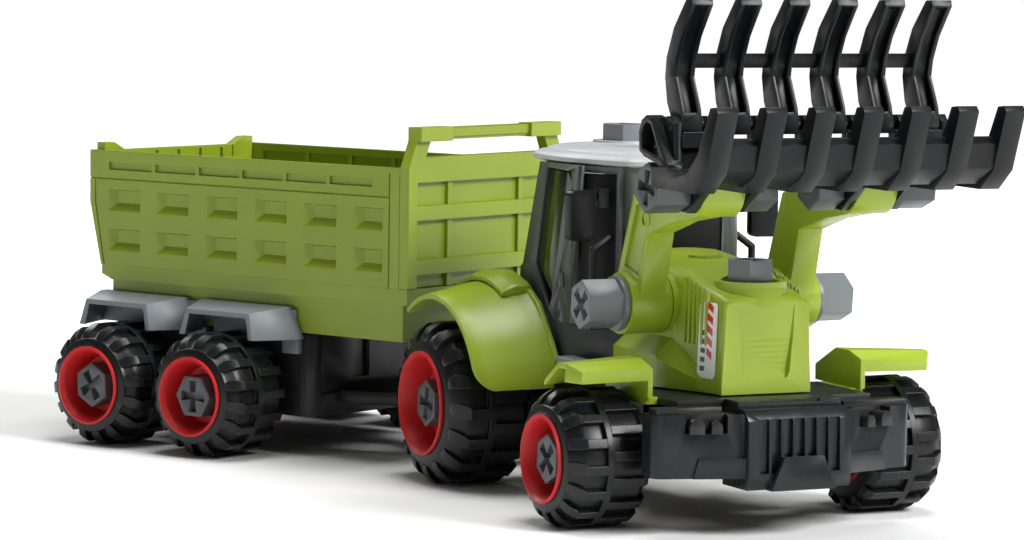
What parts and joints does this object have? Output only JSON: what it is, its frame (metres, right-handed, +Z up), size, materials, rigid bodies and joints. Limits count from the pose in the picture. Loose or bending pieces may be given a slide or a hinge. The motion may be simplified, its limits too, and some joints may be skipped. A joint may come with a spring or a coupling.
{
  "type": "toy tractor",
  "caption": "Take-apart toy farm tractor with a front rake loader and grapple, deep tread wheels and a tipping dump trailer on a swivel hitch.",
  "frame": {"origin": "on the ground at the centre of the rest-pose footprint, with the loader raised and the trailer yawed 26.4 degrees about the hitch", "axes": "the tractor faces -Y, +Z is up, and +X is the side the driver would call left seen from the front"},
  "size_m": [0.2334, 0.4339, 0.1826],
  "materials": {
    "lime_plastic": "satin moulded",
    "black_plastic": "satin moulded",
    "dark_grey_plastic": "satin moulded",
    "grey_plastic": "satin moulded",
    "pale_roof": "satin moulded",
    "tinted_glass": "olive tinted, polished",
    "white_label": "smooth printed film",
    "soft_tyre": "matte moulded",
    "red_plastic": "glossy moulded"
  },
  "bodies": {
    "tractor": {"chassis_frame": "black_plastic", "front_bumper": "dark_grey_plastic", "front_deck": "black_plastic", "hood": "lime_plastic", "hood_stickers": "white_label", "top_screws": "grey_plastic", "cab_base": "dark_grey_plastic", "cab_frame": "grey_plastic", "cab_glass": "tinted_glass", "cab_doors": "black_plastic", "cab_seat": "black_plastic", "cab_roof": "pale_roof", "mirror_left": "dark_grey_plastic", "mirror_right": "dark_grey_plastic", "handrails": "black_plastic", "front_fender_left": "lime_plastic", "front_fender_right": "lime_plastic", "rear_fender_left": "lime_plastic", "rear_fender_right": "lime_plastic", "side_steps": "grey_plastic", "hitch_pin": "grey_plastic", "front_axle_screws": "grey_plastic", "rear_axle_screws": "grey_plastic", "pivot_screws": "grey_plastic"},
    "loader": {"arm_left": "lime_plastic", "arm_right": "lime_plastic", "hinge_screws": "grey_plastic", "hinge_nuts": "grey_plastic"},
    "rake": {"rake": "black_plastic", "grapple_pin": "black_plastic"},
    "grapple": {"grapple": "black_plastic"},
    "trailer": {"trailer_chassis": "black_plastic", "drawbar": "black_plastic", "trailer_fender_left": "grey_plastic", "trailer_fender_right": "grey_plastic", "trailer_axle_screws": "grey_plastic", "tip_pin": "grey_plastic"},
    "tub": {"tub": "lime_plastic", "headboard": "lime_plastic", "gate_pins": "grey_plastic"},
    "tailgate": {"tailgate": "lime_plastic"},
    "wheel_fl": {"tyre_fl": "soft_tyre", "rim_fl": "red_plastic"},
    "wheel_fr": {"tyre_fr": "soft_tyre", "rim_fr": "red_plastic"},
    "wheel_rl": {"tyre_rl": "soft_tyre", "rim_rl": "red_plastic"},
    "wheel_rr": {"tyre_rr": "soft_tyre", "rim_rr": "red_plastic"},
    "wheel_t1l": {"tyre_t1l": "soft_tyre", "rim_t1l": "red_plastic"},
    "wheel_t1r": {"tyre_t1r": "soft_tyre", "rim_t1r": "red_plastic"},
    "wheel_t2l": {"tyre_t2l": "soft_tyre", "rim_t2l": "red_plastic"},
    "wheel_t2r": {"tyre_t2r": "soft_tyre", "rim_t2r": "red_plastic"}
  },
  "joints": [
    {"name": "spin_fl", "type": "hinge", "parent": "tractor", "child": "wheel_fl", "pos_m": [0.1007, -0.1263, 0.024], "axis": [1, 0, 0], "continuous": true},
    {"name": "spin_fr", "type": "hinge", "parent": "tractor", "child": "wheel_fr", "pos_m": [-0.0193, -0.1263, 0.024], "axis": [1, 0, 0], "continuous": true},
    {"name": "spin_rl", "type": "hinge", "parent": "tractor", "child": "wheel_rl", "pos_m": [0.0957, -0.0151, 0.0302], "axis": [1, 0, 0], "continuous": true},
    {"name": "spin_rr", "type": "hinge", "parent": "tractor", "child": "wheel_rr", "pos_m": [-0.0143, -0.0151, 0.0302], "axis": [1, 0, 0], "continuous": true},
    {"name": "spin_t1l", "type": "hinge", "parent": "trailer", "child": "wheel_t1l", "pos_m": [0.04369, 0.14261, 0.024], "axis": [0.8957, 0.4446, 0], "continuous": true},
    {"name": "spin_t1r", "type": "hinge", "parent": "trailer", "child": "wheel_t1r", "pos_m": [-0.07096, 0.0857, 0.024], "axis": [0.8957, 0.4446, 0], "continuous": true},
    {"name": "spin_t2l", "type": "hinge", "parent": "trailer", "child": "wheel_t2l", "pos_m": [0.01959, 0.19116, 0.024], "axis": [0.8957, 0.4446, 0], "continuous": true},
    {"name": "spin_t2r", "type": "hinge", "parent": "trailer", "child": "wheel_t2r", "pos_m": [-0.09506, 0.13425, 0.024], "axis": [0.8957, 0.4446, 0], "continuous": true},
    {"name": "loader_lift", "type": "hinge", "parent": "tractor", "child": "loader", "pos_m": [0.0407, -0.1098, 0.075], "axis": [1, 0, 0], "range_deg": [-12, 46]},
    {"name": "rake_tilt", "type": "hinge", "parent": "loader", "child": "rake", "pos_m": [0.0407, -0.1609, 0.1189], "axis": [1, 0, 0], "range_deg": [-30, 40]},
    {"name": "grapple_close", "type": "hinge", "parent": "rake", "child": "grapple", "pos_m": [0.0407, -0.1738, 0.1402], "axis": [1, 0, 0], "range_deg": [-15, 60]},
    {"name": "hitch_yaw", "type": "hinge", "parent": "tractor", "child": "trailer", "pos_m": [0.0407, 0.0047, 0.022], "axis": [0, 0, 1], "range_deg": [-56, 3]},
    {"name": "tub_tip", "type": "hinge", "parent": "trailer", "child": "tub", "pos_m": [-0.04556, 0.17847, 0.053], "axis": [-0.8957, -0.4446, 0], "range_deg": [0, 45]},
    {"name": "tailgate_swing", "type": "hinge", "parent": "tub", "child": "tailgate", "pos_m": [-0.0501, 0.1876, 0.1106], "axis": [0.8957, 0.4446, 0], "range_deg": [0, 70]}
  ]
}
